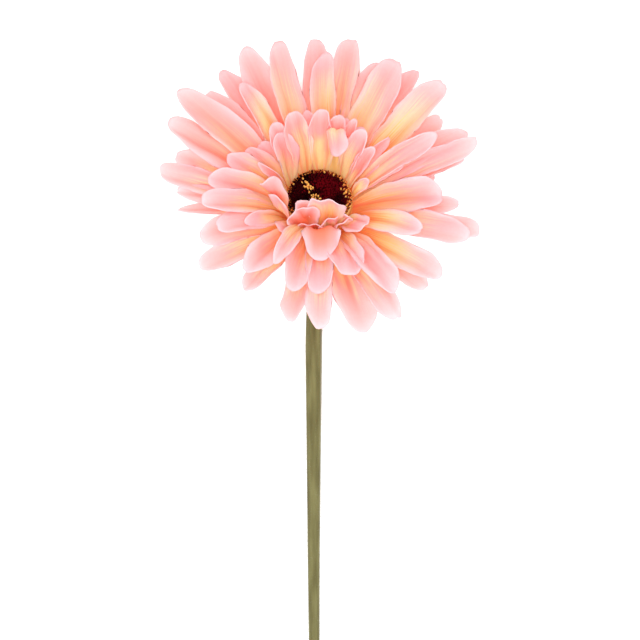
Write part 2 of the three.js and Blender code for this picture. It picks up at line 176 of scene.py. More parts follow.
class NodeSketch:
    """A small helper that lays out one material's nodes."""

    def __init__(self, name: str) -> None:
        """Start an empty material.

        Args:
            name: The material's name.
        """
        self.material = bpy.data.materials.new(name)
        self.material.use_nodes = True
        self.tree = self.material.node_tree
        self.tree.nodes.clear()
        self.output = self.tree.nodes.new("ShaderNodeOutputMaterial")

    def add(self, kind: str, **settings: object) -> bpy.types.Node:
        """Add a node.

        Args:
            kind: The node's type name.
            **settings: Properties of the node itself.

        Returns:
            The new node.
        """
        node = self.tree.nodes.new(kind)
        for key, value in settings.items():
            setattr(node, key, value)
        return node

    def feed(self, sockets: Iterable[Socket], values: Iterable[object]) -> None:
        """Give sockets their values.

        Args:
            sockets: The sockets of a node.
            values: For each of them, another node's socket to link to it, or what it is set to.
        """
        for socket, value in zip(sockets, values):
            if isinstance(value, Socket):
                self.tree.links.new(value, socket)
            else:
                socket.default_value = value

    def attribute(self, name: str) -> Socket:
        """Read one of the mesh's own numbers."""
        return self.add("ShaderNodeAttribute", attribute_name=name).outputs["Fac"]

    def maths(self, operation: str, first: object, second: object, clamp: bool = False) -> Socket:
        """Combine two numbers or sockets.

        Args:
            operation: The Math node's operation.
            first: A number or a socket.
            second: A number or a socket.
            clamp: Keep the result between 0 and 1.

        Returns:
            The result's socket.
        """
        node = self.add("ShaderNodeMath", operation=operation, use_clamp=clamp)
        self.feed(node.inputs, (first, second))
        return node.outputs[0]

    def times(self, first: object, second: object, clamp: bool = False) -> Socket:
        """Multiply two numbers or sockets."""
        return self.maths("MULTIPLY", first, second, clamp)

    def plus(self, first: object, second: object, clamp: bool = False) -> Socket:
        """Add two numbers or sockets."""
        return self.maths("ADD", first, second, clamp)

    def minus(self, first: object, second: object, clamp: bool = False) -> Socket:
        """Take one number or socket from another."""
        return self.maths("SUBTRACT", first, second, clamp)

    def ramp(self, factor: Socket, stops: Iterable[tuple[float, Rgb]]) -> Socket:
        """Colour a number by stops.

        Args:
            factor: The number to colour.
            stops: Pairs of place and colour, in rising order.

        Returns:
            The colour's socket.
        """
        node = self.add("ShaderNodeValToRGB")
        elements = node.color_ramp.elements
        stops = list(stops)
        while len(elements) < len(stops):
            elements.new(1.0)
        for element, (place, colour) in zip(elements, stops):
            element.position = place
            element.color = linear(colour)
        self.feed([node.inputs["Fac"]], [factor])
        return node.outputs["Color"]

    def blend(self, factor: object, first: object, second: object, mode: str = "MIX") -> Socket:
        """Mix two colours.

        Args:
            factor: How much of the second, as a number or a socket.
            first: A colour or a socket.
            second: A colour or a socket.
            mode: The Mix node's blend mode.

        Returns:
            The mixed colour's socket.
        """
        node = self.add("ShaderNodeMix", data_type="RGBA", blend_type=mode)
        slots = [socket for socket in node.inputs if socket.type == "RGBA"]
        colours = [one if isinstance(one, Socket) else linear(one) for one in (first, second)]
        self.feed([node.inputs["Factor"], *slots], [factor, *colours])
        return next(socket for socket in node.outputs if socket.type == "RGBA")

    def noise(self, scale: float, detail: float, vector: Socket | None = None) -> Socket:
        """Add a noise texture.

        Args:
            scale: The texture's scale.
            detail: The texture's detail.
            vector: Where it is read, which is the piece's own coordinates unless given.

        Returns:
            The noise's number socket.
        """
        node = self.add("ShaderNodeTexNoise")
        where = vector or self.add("ShaderNodeTexCoord").outputs["Object"]
        self.feed([node.inputs[name] for name in ("Vector", "Scale", "Detail")], [where, scale, detail])
        return node.outputs["Fac"]

    def sheet_noise(self, scales: tuple[float, float, float], detail: float, scale: float = 1.0) -> Socket:
        """Add a noise texture that lies on a petal's own numbers.

        Args:
            scales: How much the petal's across, along and tint are stretched.
            detail: The texture's detail.
            scale: The texture's scale.

        Returns:
            The noise's number socket.
        """
        node = self.add("ShaderNodeCombineXYZ")
        names = ("across", "along", "tint")
        self.feed(node.inputs, [self.times(self.attribute(name), by) for name, by in zip(names, scales)])
        return self.noise(scale, detail, node.outputs[0])

    def bump(self, height: Socket, distance: float, strength: float = 0.5) -> Socket:
        """Turn a number into relief.

        Args:
            height: The relief's height.
            distance: How deep it is, in metres.
            strength: How strongly it shows.

        Returns:
            The normal's socket.
        """
        node = self.add("ShaderNodeBump")
        sockets = [node.inputs[name] for name in ("Height", "Distance", "Strength")]
        self.feed(sockets, [height, distance, strength])
        return node.outputs["Normal"]

    def surface(self, colour: Socket, normal: Socket | None = None, **values: object) -> None:
        """Finish the material with one shader.

        Args:
            colour: The base colour.
            normal: The relief, if there is any.
            **values: The shader's own sockets by name, with underscores for spaces.
        """
        shader = self.add("ShaderNodeBsdfPrincipled")
        values["Base_Color"] = colour
        if normal is not None:
            values["Normal"] = normal
        self.feed([shader.inputs[name.replace("_", " ")] for name in values], values.values())
        self.feed([self.output.inputs["Surface"]], [shader.outputs["BSDF"]])

    def shine_through(self, colour: Socket, share: float) -> None:
        """Let light from behind show through the finished surface.

        Args:
            colour: The colour that the light takes.
            share: How much of the light goes through.
        """
        front = self.output.inputs["Surface"].links[0].from_socket
        thin = self.add("ShaderNodeBsdfTranslucent")
        both = self.add("ShaderNodeMixShader")
        self.feed([thin.inputs["Color"]], [colour])
        self.feed(both.inputs, [share, front, thin.outputs["BSDF"]])
        self.feed([self.output.inputs["Surface"]], [both.outputs["Shader"]])


@dataclass(frozen=True)
class PetalFinish:
    """Soft translucent petal: yellow at the root, pink further out and pale at the tip, with painted
    highlights and painted shade.

    Its five main colours stand at stops along the petal. tint_reach and wander are how far the petal's own
    tint and blotches of noise move these stops, which brings no colour past pinkest nearer to the root.
    blotches and fibres stretch the noise on the petal, and relief is in metres. rim is the colour of the
    painted highlight at the edges and the lit tips, and fold that of the painted shade in the creases, which
    also colours the fine grain. painted_bounce_colour, a linear colour, and painted_bounce_strength are the
    colour and the strength of a faint painted glow, which stands for the light that real petals scatter into
    one another, and glow is how much light comes through from behind.
    """

    name: str
    root: Rgb
    throat: Rgb
    middle: Rgb
    blush: Rgb
    tip: Rgb
    # rim is the colour of the painted highlight at the edges and the lit tips.
    rim: Rgb = (252, 238, 255)
    streak: Rgb = (255, 230, 230)
    # fold is the colour of the painted shade in the creases and on shaded faces, and also of the fine grain.
    fold: Rgb = (255, 150, 108)
    filtered: Rgb = (255, 236, 204)
    painted_bounce_colour: tuple[float, ...] = (1.0, 0.3, 0.08, 1.0)
    painted_bounce_strength: float = 0.06
    glow: float = 0.45
    stops: tuple[float, ...] = (0.0, 0.26, 0.5, 0.78, 1.0)
    blotches: tuple[float, float, float] = (0.8, 2.2, 90.0)
    fibres: tuple[float, float, float] = (5.0, 0.9, 40.0)
    tint_reach: float = 1.9
    wander: float = 2.4
    pinkest: float = 0.8
    crease_shading_strength: float = 1.3
    grain: float = 0.16
    relief: float = 0.0009

    def material(self) -> bpy.types.Material:
        """Build the material.

        Returns:
            The new material.
        """
        sketch = NodeSketch(self.name)
        along = sketch.attribute("along")
        before_tip = sketch.minus(1.0, along, clamp=True)
        blotch = sketch.sheet_noise(self.blotches, 1.0)
        shift = sketch.times(sketch.minus(sketch.attribute("tint"), 0.5), self.tint_reach)
        wander = sketch.times(sketch.minus(blotch, 0.5), self.wander)
        change = sketch.times(sketch.plus(shift, wander), sketch.times(before_tip, sketch.plus(along, 0.2)))
        limit = sketch.maths("MAXIMUM", along, self.pinkest)
        place = sketch.maths("MINIMUM", sketch.plus(along, change, clamp=True), limit)
        colours = (self.root, self.throat, self.middle, self.blush, self.tip)
        plain = sketch.ramp(place, zip(self.stops, colours))

        streaks = sketch.minus(sketch.sheet_noise(self.fibres, 2.0), 0.45, clamp=True)
        streaked = sketch.blend(sketch.times(streaks, 0.9, clamp=True), plain, self.streak)
        # Painted shade: the folds' valleys and each petal's painted_shade blend the colour towards fold.
        deep = sketch.times(sketch.attribute("valley"), before_tip)
        painted_crease_shade = sketch.times(sketch.times(deep, blotch), self.crease_shading_strength)
        uneven = sketch.plus(painted_crease_shade, sketch.attribute("painted_shade"), clamp=True)
        shaded = sketch.blend(uneven, streaked, self.fold)
        # Painted highlight: pale blends in the rim colour at the edges and the lit tips, with frost's
        # bleaching.
        edged = sketch.blend(sketch.attribute("pale"), shaded, self.rim)
        finished = sketch.blend(sketch.times(sketch.noise(900, 3.0), self.grain), edged, self.fold)

        veins = sketch.times(sketch.sheet_noise(self.fibres, 2.0, scale=4.0), 0.35)
        sketch.surface(
            finished,
            sketch.bump(sketch.plus(veins, sketch.noise(170, 1.0)), self.relief),
            Roughness=0.65,
            Specular_IOR_Level=0.2,
            # Painted glow: a faint emission that stands in for the light that petals scatter into one
            # another.
            Emission_Color=self.painted_bounce_colour,
            Emission_Strength=self.painted_bounce_strength,
        )
        sketch.shine_through(sketch.blend(1.0, finished, self.filtered, "MULTIPLY"), self.glow)
        return sketch.material


@dataclass(frozen=True)
class PlainFinish:
    """A matt finish with two mottled colours and fine relief, whose depth is in metres."""

    name: str
    dark: Rgb
    light: Rgb
    grain: float
    roughness: float = 0.75
    relief: float = 0.0001
    sheen: float = 0.2
    shine: float = 0.3

    def material(self) -> bpy.types.Material:
        """Build the material.

        Returns:
            The new material.
        """
        sketch = NodeSketch(self.name)
        mottle = sketch.noise(self.grain, 4.0)
        sketch.surface(
            sketch.ramp(mottle, [(0.32, self.dark), (0.68, self.light)]),
            sketch.bump(mottle, self.relief),
            Roughness=self.roughness,
            Specular_IOR_Level=self.shine,
            Sheen_Weight=self.sheen,
        )
        return sketch.material


@dataclass(frozen=True)
class FloorFinish:
    """Plain white light table, which glows a little so that the petals are lit through."""

    dull: Rgb = (252, 252, 252)
    bright: Rgb = (255, 255, 255)
    glow: float = 0.3

    def material(self) -> bpy.types.Material:
        """Build the material.

        Returns:
            The new material.
        """
        sketch = NodeSketch("pale floor")
        sketch.surface(
            sketch.ramp(sketch.noise(3, 2.0), [(0.0, self.dull), (1.0, self.bright)]),
            Roughness=0.9,
            Emission_Color=linear(self.bright),
            Emission_Strength=self.glow,
        )
        return sketch.material


@dataclass(frozen=True)
class BractFinish:
    """Matt green bract with pale edges and a reddish tip."""

    root: Rgb = (104, 122, 58)
    middle: Rgb = (122, 138, 70)
    tip: Rgb = (150, 96, 70)
    edge: Rgb = (176, 184, 122)

    def material(self) -> bpy.types.Material:
        """Build the material.

        Returns:
            The new material.
        """
        sketch = NodeSketch("green bracts")
        tint = sketch.times(sketch.minus(sketch.attribute("tint"), 0.5), 0.2)
        place = sketch.plus(sketch.attribute("along"), tint, clamp=True)
        green = sketch.ramp(place, [(0.0, self.root), (0.7, self.middle), (1.0, self.tip)])
        edge = sketch.maths("POWER", sketch.maths("ABSOLUTE", sketch.attribute("across"), 0.0), 6.0)
        sketch.surface(
            sketch.blend(sketch.times(edge, 0.6), green, self.edge),
            sketch.bump(sketch.noise(700, 3.0), 0.0002),
            Roughness=0.7,
            Specular_IOR_Level=0.3,
            Sheen_Weight=0.3,
        )
        return sketch.material


@dataclass(frozen=True)
class StemFinish:
    """Matt olive stem with a soft sheen, mottled in streaks that a scale below 1 stretches along it."""

    dark: Rgb = (88, 82, 46)
    light: Rgb = (120, 116, 74)
    stretch: tuple[float, float, float] = (1.0, 0.12, 1.0)

    def material(self) -> bpy.types.Material:
        """Build the material.

        Returns:
            The new material.
        """
        sketch = NodeSketch("olive stem")
        lengthwise = sketch.add("ShaderNodeMapping")
        where = sketch.add("ShaderNodeTexCoord").outputs["Object"]
        sketch.feed([lengthwise.inputs["Vector"], lengthwise.inputs["Scale"]], [where, self.stretch])
        mottle = sketch.noise(450, 4.0, lengthwise.outputs["Vector"])
        sketch.surface(
            sketch.ramp(mottle, [(0.3, self.dark), (0.7, self.light)]),
            sketch.bump(mottle, 0.0001, 0.4),
            Roughness=0.75,
            Specular_IOR_Level=0.2,
            Sheen_Weight=0.55,
            Sheen_Roughness=0.35,
        )
        return sketch.material


# ---- Meshes ----


def finish_piece(mesh: Mesh, name: str, place: Matrix, materials: Iterable[bpy.types.Material]) -> Piece:
    """Turn a bmesh in millimetres into a piece whose object sits at the origin.

    Args:
        mesh: The finished bmesh, which is freed.
        name: The piece's name.
        place: From the bmesh's own frame to the part's, in millimetres.
        materials: The materials, in the order of the faces' indices.

    Returns:
        The new piece.
    """
    bmesh.ops.transform(mesh, matrix=Matrix.Scale(MM, 4) @ place, verts=mesh.verts[:])
    for face in mesh.faces:
        face.smooth = True
    data = bpy.data.meshes.new(name)
    mesh.to_mesh(data)
    mesh.free()
    for material in materials:
        data.materials.append(material)
    piece = bpy.data.objects.new(name, data)
    bpy.context.scene.collection.objects.link(piece)
    return piece


def stand_for(piece: Piece, node: str, slot: str) -> None:
    """Hang a piece on the root body, and hide the solid that it stands for.

    Args:
        piece: The finished piece.
        node: The solid's node.
        slot: Not used.
    """
    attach(piece, "root")
    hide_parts(node)


def spike(
    sides: int, root_radius: float, tip_radius: float, length: float, rise: float = 0.5, capped: bool = True
) -> Mesh:
    """Make one small cone along Z, to be set many times.

    Args:
        sides: How many sides it has.
        root_radius: Its radius at its lower end.
        tip_radius: Its radius at its upper end.
        length: Its length.
        rise: How high its middle is, as a share of its length.
        capped: Close its ends.

    Returns:
        The cone.
    """
    template = bmesh.new()
    bmesh.ops.create_cone(
        template,
        cap_ends=capped,
        segments=sides,
        radius1=root_radius,
        radius2=tip_radius,
        depth=length,
        matrix=Matrix.Translation((0, 0, length * rise)),
    )
    return template


def scatter(template: Mesh, places: Sequence[Matrix], finishes: Sequence[int] | None = None) -> Mesh:
    """Set many copies of one small shape.

    Args:
        template: The shape, which is freed.
        places: Where each copy goes.
        finishes: The index of each copy's material, if they differ.

    Returns:
        One bmesh with all the copies, in order.
    """
    data = bpy.data.meshes.new("template")
    template.to_mesh(data)
    template.free()
    size, faces_each = len(data.vertices), len(data.polygons)
    mesh = bmesh.new()
    for _ in places:
        mesh.from_mesh(data)
    for index, vert in enumerate(mesh.verts):
        vert.co = places[index // size] @ vert.co
    for index, face in enumerate(mesh.faces):
        face.material_index = finishes[index // faces_each] if finishes else 0
    bpy.data.meshes.remove(data)
    return mesh


# ---- Petals ----


@dataclass(frozen=True)
class Crease:
    """A soft fold of a petal: a line through one of its points, past which the rest is bent over.

    slant turns the line from straight across the petal, and 90 makes it run lengthwise. A positive angle
    bends the far part towards the petal's face, and for a lengthwise line the far part is on the left.
    """

    along: float
    angle: float
    slant: float = 0.0
    across: float = 0.0
    radius: float = 1.0


@dataclass(frozen=True)
class Petal:
    """One petal: where it points, counterclockwise from +X, and its shape.

    lift raises all of it, curl only turns its tip up, or down where negative, and twist turns its face.
    swerve turns all of it sideways at its root, pink says how near to the root the pink reaches, creases
    are its folds, cup raises its edges and taper is lower for a more pointed tip. widest is how far along
    it is widest, painted_shade is painted shade, how far its face is darkened towards the folds' salmon, and
    frost is how far its outer half is bleached.
    """

    azimuth: float
    length: float
    width: float
    lift: float = 0.0
    curl: float = 0.0
    twist: float = 0.0
    swerve: float = 0.0
    pink: float = 0.5
    creases: tuple[Crease, ...] = ()
    cup: float = 0.3
    taper: float = 2.8
    widest: float = 0.66
    painted_shade: float = 0.0
    frost: float = 0.0


@dataclass(frozen=True)
class Row:
    """Where a row's petals start, and the slopes that their midribs follow.

    Each slope is given with what it gains on the side away from the stem.
    """

    radius: float
    height: float
    start_slope: tuple[float, float]
    end_slope: tuple[float, float]
    bend: float
    petals: tuple[Petal, ...]


OUTER_LOWER = Row(
    radius=12.4,
    height=-8.2,
    start_slope=(26, 3),
    end_slope=(12, 6),
    bend=0.9,
    petals=(
        Petal(11, 31, 8.5, pink=0.7),
        Petal(16, 43, 7.5, twist=20, pink=0.6),
        Petal(34, 43, 9, twist=15, pink=0.6),
        Petal(57, 51, 10, lift=-10.7, twist=-10, pink=0.8),
        Petal(68, 46, 11, pink=0.4),
        Petal(79.5, 53, 10, twist=4, pink=0.45, painted_shade=0.25),
        Petal(91.5, 52, 8.6, pink=0.6),
        Petal(116, 53, 11, twist=-8, pink=0.95),
        Petal(123, 51, 9, lift=-11, pink=0.7),
        Petal(164, 43, 10, twist=-10, pink=0.25),
        Petal(173, 48, 9.5, twist=-20),
        Petal(180, 40, 7.5, pink=0.6),
        Petal(188, 40, 6, twist=30, pink=0.7),
        Petal(215, 41, 9, twist=-25, pink=0.6),
        Petal(258, 41, 9),
        Petal(286, 48, 12.2, pink=0.8, creases=(Crease(0.6, -40, slant=-84, across=0.45, radius=2.5),)),
        Petal(315, 43, 9),
        Petal(343, 50, 9.5, twist=10, pink=0.6),
        Petal(355, 39, 7, twist=35, pink=0.8),
    ),
)
OUTER_UPPER = Row(
    radius=12.4,
    height=-7.2,
    start_slope=(34, 4),
    end_slope=(14, 7),
    bend=0.9,
    petals=(
        Petal(15, 51, 8, twist=35, pink=0.7),
        Petal(21, 48, 9.5, twist=20, pink=0.7),
        Petal(41, 52, 11, twist=12, pink=0.15),
        Petal(60, 49, 12.5, pink=0.4),
        Petal(88, 45, 9, pink=0.1),
        Petal(106, 51, 9.5, pink=0.4, painted_shade=0.2),
        Petal(124, 42, 8, twist=20, pink=0.0),
        Petal(145, 54, 12, twist=-10, pink=0.7, taper=2.2, widest=0.6, painted_shade=0.3),
        Petal(157, 50.5, 10.5, twist=-10, pink=0.7, painted_shade=0.45),
        Petal(204, 36, 10.5, twist=-20, pink=0.6),
        Petal(238, 38, 8.5, twist=10, pink=0.3),
        Petal(270, 48, 9.4),
        Petal(297, 51, 9.8, pink=0.45),
        Petal(319, 47, 10.5, twist=10, pink=0.25),
        Petal(339, 48, 11, twist=10, pink=0.6),
        Petal(136, 46, 9.5, lift=-7, pink=0.7),
    ),
)
MIDDLE = Row(
    radius=12.4,
    height=-4.8,
    start_slope=(50, 6),
    end_slope=(14, 10),
    bend=1.0,
    petals=(
        Petal(19.5, 24.5, 5.2, twist=40, pink=1.0, taper=2.2, painted_shade=-0.6),
        Petal(21, 40, 7.5, twist=45, pink=0.7, taper=2.2),
        Petal(37, 25, 4.5, lift=4, twist=75, pink=0.6),
        Petal(56, 22, 7, lift=6),
        Petal(72, 23, 7.5, lift=6, pink=0.3),
        Petal(99, 24.5, 5.5, lift=6, pink=0.95),
        Petal(138, 20, 7, twist=-20, pink=0.6),
        Petal(148, 22, 7, twist=-50),
        Petal(160, 27, 7.5, twist=-45, pink=0.4),
        Petal(178, 32, 9.5, twist=-15, pink=0.7, painted_shade=0.2),
        Petal(192, 35, 9.5, twist=-10, pink=0.55),
        Petal(206, 32, 9, twist=-5, pink=0.8),
        Petal(208, 22, 5.5, lift=8, twist=-50, pink=0.4, taper=2.0),
        Petal(227, 12, 9, lift=22, pink=0.3, cup=0.1),
        Petal(235, 35, 10.5, pink=0.65, painted_shade=0.3),
        Petal(257, 32.4, 9, lift=-4, pink=0.6),
        Petal(270, 31.5, 9.4, lift=-5, pink=0.6),
        Petal(296, 30, 12, lift=3, swerve=-12, pink=0.6, taper=2.2),
        Petal(301.5, 43, 10.6, lift=-3, pink=0.95),
        Petal(332, 33, 8.6, twist=15, pink=0.15),
        Petal(357, 33.5, 12, lift=-15, curl=5, twist=10, painted_shade=0.25),
    ),
)
INNER = Row(
    radius=11.9,
    height=-1.5,
    start_slope=(72, 0),
    end_slope=(45, 0),
    bend=1.5,
    petals=(
        Petal(10, 11.5, 4, curl=-5, twist=60, pink=0.0, taper=2.0),
        Petal(30, 21.5, 5.2, lift=-2, curl=5, twist=40, pink=0.9, cup=0.6, taper=2.0),
        Petal(45, 24.5, 7.6, curl=5, twist=10, pink=0.6, cup=0.5, taper=2.2, frost=0.2),
        Petal(
            62, 33.5, 7.4, lift=2, curl=15, swerve=20, pink=0.15, cup=0.15, taper=2.4, widest=0.84,
            painted_shade=-0.5, frost=0.12, creases=(Crease(0.61, 150, slant=-15, radius=2.0),),
        ),
        Petal(60, 24.5, 5, lift=-7, curl=8, pink=1.0, taper=2.0),
        Petal(
            72, 24.4, 8.4, lift=-3, curl=5, twist=-5, pink=0.7, taper=2.2,
            creases=(Crease(0.8, 60, slant=-60, across=0.5, radius=1.2),),
        ),
        Petal(
            86, 26.8, 9.6, curl=5, pink=0.6, taper=2.2,
            creases=(Crease(0.8, 60, slant=60, across=-0.45, radius=1.2),),
        ),
        Petal(114, 27.6, 9.4, curl=5, taper=2.0, painted_shade=0.15),
        Petal(145, 22, 9.6, curl=2, twist=-15, swerve=-34, pink=0.7),
        Petal(137, 24.6, 7.6, lift=-3, curl=-12, twist=-12, swerve=-14, pink=1.1),
        Petal(162, 18.5, 3, lift=-6, twist=-80, pink=0.9, cup=0.9, taper=2.0),
        Petal(201, 21, 7.5, lift=-6.4, curl=40, twist=99, swerve=-30, pink=0.9, cup=0.6, painted_shade=0.35),
        Petal(
            218, 16, 7, lift=-14, curl=10, twist=-25, swerve=-35, pink=0.6,
            creases=(Crease(0.6, 60, slant=-60, across=-0.4, radius=0.8),),
        ),
        Petal(246, 33, 6.6, lift=-14, curl=-40, twist=-50, pink=0.6, cup=0.1, taper=2.0),
        Petal(256.8, 13.5, 11.9, lift=-9.8, curl=34, twist=80, swerve=-90, pink=0.3, cup=0.2, painted_shade=1.5),
        Petal(237, 15, 8.8, curl=36, twist=40, swerve=105, pink=0.8, cup=-0.05, painted_shade=0.9),
        Petal(262, 9, 11, lift=2, curl=20, pink=0.8, cup=-0.1, painted_shade=0.8),
        Petal(
            272, 24.2, 13.4, lift=-9, curl=27, pink=0.8, cup=0.0, widest=0.52, taper=1.6, painted_shade=1.5,
            creases=(Crease(0.46, -76, radius=1.5),),
        ),
        Petal(278.6, 19.4, 13.4, lift=32, twist=-17, swerve=-30, pink=0.0, cup=-0.1, painted_shade=0.25),
        Petal(294, 9.5, 12, lift=12, curl=24, cup=-0.1),
        Petal(304, 8.5, 7.5, lift=-4, curl=20, pink=0.9, cup=-0.2),
        Petal(316, 12.5, 9, lift=-28, curl=8, pink=0.7, cup=0.2),
    ),
)


def chance(low: float, high: float) -> float:
    """Declare a number that is drawn between two limits."""
    return field(metadata={"limits": (low, high)})


@dataclass(frozen=True)
class Quirks:
    """What chance gives one petal, in the order in which it is drawn.

    Folds are the broad waves across it, pleats the finer ones at its root, and waves those along its edges.
    The tip has a small notch, skew moves that to one side, and blush_side makes one side pinker.
    """

    tip_turn: float = chance(-10, 8)
    fold_depth: float = chance(0.09, 0.19)
    pleat_depth: float = chance(0.03, 0.065)
    pleat_phase: float = chance(0, FULL_TURN)
    ragged: float = chance(0.05, 0.1)
    ragged_phase: float = chance(0, FULL_TURN)
    blush_side: float = chance(-0.35, 0.35)
    fold_count: float = chance(1.2, 2.2)
    fold_phase: float = chance(0, FULL_TURN)
    edge_roll: float = chance(-0.22, 0.18)
    wave_depth: float = chance(0.03, 0.11)
    wave_phase: float = chance(0, FULL_TURN)
    notch: float = chance(-0.03, 0.06)
    skew: float = chance(-0.06, 0.06)
    sway: float = chance(-2, 2)

    @classmethod
    def drawn(cls, draws: Draws) -> "Quirks":
        """Draw every number in turn."""
        return cls(*(draws.between(*quirk.metadata["limits"]) for quirk in fields(cls)))


@dataclass
class PetalSheet:
    """The curved surface of one petal, from its row's rule, its own entry and its quirks.

    root_width is its width at the root, as a share of its full width, and root_depth is how far it goes on
    inside the base. The counts are of the waves across it or along it. painted_sunlight says how pale a tip
    is painted, as painted light, at the bloom's sides, and how much paler on the stem's side. edge_paleness
    and tip_paleness weigh the painted highlight at the edges and at the tips.
    """

    row: Row
    petal: Petal
    quirks: Quirks
    root_width: float = 0.42
    root_depth: float = 1.2
    pleat_count: float = 3.3
    notch_width: float = 0.16
    wave_count: float = 9.0
    ragged_counts: tuple[float, float] = (11.0, 27.0)
    edge_paleness: float = 0.66
    tip_paleness: float = 0.55
    painted_sunlight: tuple[float, float] = (0.53, 0.43)
    steps: int = 90
    midrib: list[Vector] = field(init=False)
    hinges: dict[Crease, tuple[Vector, Vector, Vector]] = field(init=False)

    def __post_init__(self) -> None:
        """Walk the midrib, and find each crease's point and directions before anything is bent."""
        self.midrib = list(self.walk())
        self.hinges = {}
        for crease in self.petal.creases:
            forward, sideways = self.directions(crease.along)
            half = self.petal.width / 2 * self.body(crease.along)
            middle = self.midrib_at(crease.along) + sideways * (crease.across * half)
            self.hinges[crease] = (middle, forward, sideways)

    def slope(self, along: float) -> float:
        """Find the midrib's slope.

        Args:
            along: A place along the petal, from 0 at its root to 1 at its tip.

        Returns:
            The slope there.
        """
        away = sind(self.petal.azimuth)
        start = self.row.start_slope[0] + self.row.start_slope[1] * away + self.petal.lift
        end = self.row.end_slope[0] + self.row.end_slope[1] * away + self.petal.lift + self.petal.curl
        turn = self.quirks.tip_turn * smooth(0.72, 1.0, along)
        return start + (end - start) * max(0.0, along) ** self.row.bend + turn

    def heading(self, along: float) -> Vector:
        """Find the midrib's direction at a place along the petal."""
        azimuth = self.petal.azimuth + self.petal.swerve + self.quirks.sway * (along - 0.45)
        return towards(azimuth, self.slope(along))

    def walk(self) -> Iterator[Vector]:
        """Follow the midrib from its root outward.

        Yields:
            The midrib's points, evenly spaced.
        """
        azimuth = self.petal.azimuth
        point = Vector((self.row.radius * cosd(azimuth), self.row.radius * sind(azimuth), self.row.height))
        yield point.copy()
        for step in range(self.steps):
            point = point + self.heading((step + 0.5) / self.steps) * (self.petal.length / self.steps)
            yield point.copy()

    def midrib_at(self, along: float) -> Vector:
        """Find the midrib's point.

        Args:
            along: A place along the petal, below 0 for its hidden root.

        Returns:
            The point there.
        """
        if along <= 0:
            return self.midrib[0] + self.heading(0) * (along * self.petal.length)
        step = min(self.steps - 1, int(along * self.steps))
        return self.midrib[step].lerp(self.midrib[step + 1], along * self.steps - step)

    def body(self, along: float) -> float:
        """The half width before the tip rounds off, as a share of half the full width."""
        share = min(1, max(0, along) / self.petal.widest)
        return self.root_width + (1 - self.root_width) * math.sin(math.pi / 2 * share)

    def end_of(self, across: float) -> float:
        """Round the petal's tip.

        Args:
            across: From -1 at one edge to 1 at the other.

        Returns:
            How far along the petal the lengthwise line there reaches.
        """
        skew, widest = self.quirks.skew, self.petal.widest
        reach = (1 - abs(across) ** 2) ** (1 / self.petal.taper)
        notch = self.quirks.notch * math.exp(-((across - 4 * skew) / self.notch_width) ** 2)
        return widest + (1 - widest) * (reach * (1 + skew * across * 3) - notch)

    def directions(self, along: float) -> tuple[Vector, Vector]:
        """Find the sheet's directions at its midrib.

        Args:
            along: A place along the petal.

        Returns:
            The directions forward and to the left.
        """
        past_root = max(0.0, along)
        forward = self.heading(past_root)
        sideways = Vector((-sind(self.petal.azimuth), cosd(self.petal.azimuth), 0))
        sideways = (sideways - forward * sideways.dot(forward)).normalized()
        turn = Matrix.Rotation(math.radians(self.petal.twist) * past_root**1.2, 3, forward)
        return forward, turn @ sideways

    def waves(self, across: float, along: float) -> tuple[float, float]:
        """Find the two sets of waves across the petal.

        Args:
            across: From -1 at one edge to 1 at the other.
            along: A place along the petal.

        Returns:
            The height of the folds and of the pleats, from -1 to 1. The pleats fade towards the tip.
        """
        quirks = self.quirks
        fold = math.cos(math.pi * quirks.fold_count * across + quirks.fold_phase)
        pleat = math.cos(math.pi * self.pleat_count * across + quirks.pleat_phase)
        return fold, pleat * (1 - 0.8 * smooth(0.3, 0.9, along))

    def point(self, across: float, share: float) -> tuple[Vector, float, float]:
        """Find a point of the sheet.

        Args:
            across: From -1 at one edge to 1 at the other.
            share: From 0 at the root to 1 at the end of this lengthwise line.

        Returns:
            The point, how far along the petal it is, and how deep in a fold it is, from 0 to 1.
        """
        quirks = self.quirks
        root = -self.root_depth / self.petal.length
        along = root + (self.end_of(across) - root) * share
        half = self.petal.width / 2 * self.body(along) * (1 + self.raggedness(across, along))
        forward, sideways = self.directions(along)
        fold, pleat = self.waves(across, along)
        cup = self.petal.cup * across**2 * min(1, 0.2 + 2 * max(0, along))
        folds = quirks.fold_depth * fold + quirks.pleat_depth * pleat
        folds *= smooth(0.0, 0.25, along) * (1 - 0.45 * smooth(0.6, 1.0, along))
        roll = quirks.edge_roll * smooth(0.6, 1.0, abs(across)) * smooth(0.15, 0.5, along)
        wave = math.sin(self.wave_count * along + quirks.wave_phase + across)
        rise = cup + folds + roll + quirks.wave_depth * abs(across) ** 3 * wave
        face = forward.cross(sideways)
        point = self.midrib_at(along) + sideways * (across * half) + face * (rise * half)
        for crease in self.petal.creases:
            point = self.bent(point, crease)
        return point, along, smooth(0.1, 0.9, -0.55 * fold - 0.45 * pleat + 0.2)

    def raggedness(self, across: float, along: float) -> float:
        """Find how the petal's uneven edge changes its width.

        Args:
            across: From -1 at one edge to 1 at the other.
            along: A place along the petal.

        Returns:
            How much wider it is there, as a share, or narrower where negative.
        """
        phase = self.quirks.ragged_phase
        slow = math.sin(self.ragged_counts[0] * along + phase + 2 * across)
        fast = math.sin(self.ragged_counts[1] * along - 2 * phase - 3 * across)
        return self.quirks.ragged * (slow + 0.5 * fast) * smooth(0.2, 0.6, along)

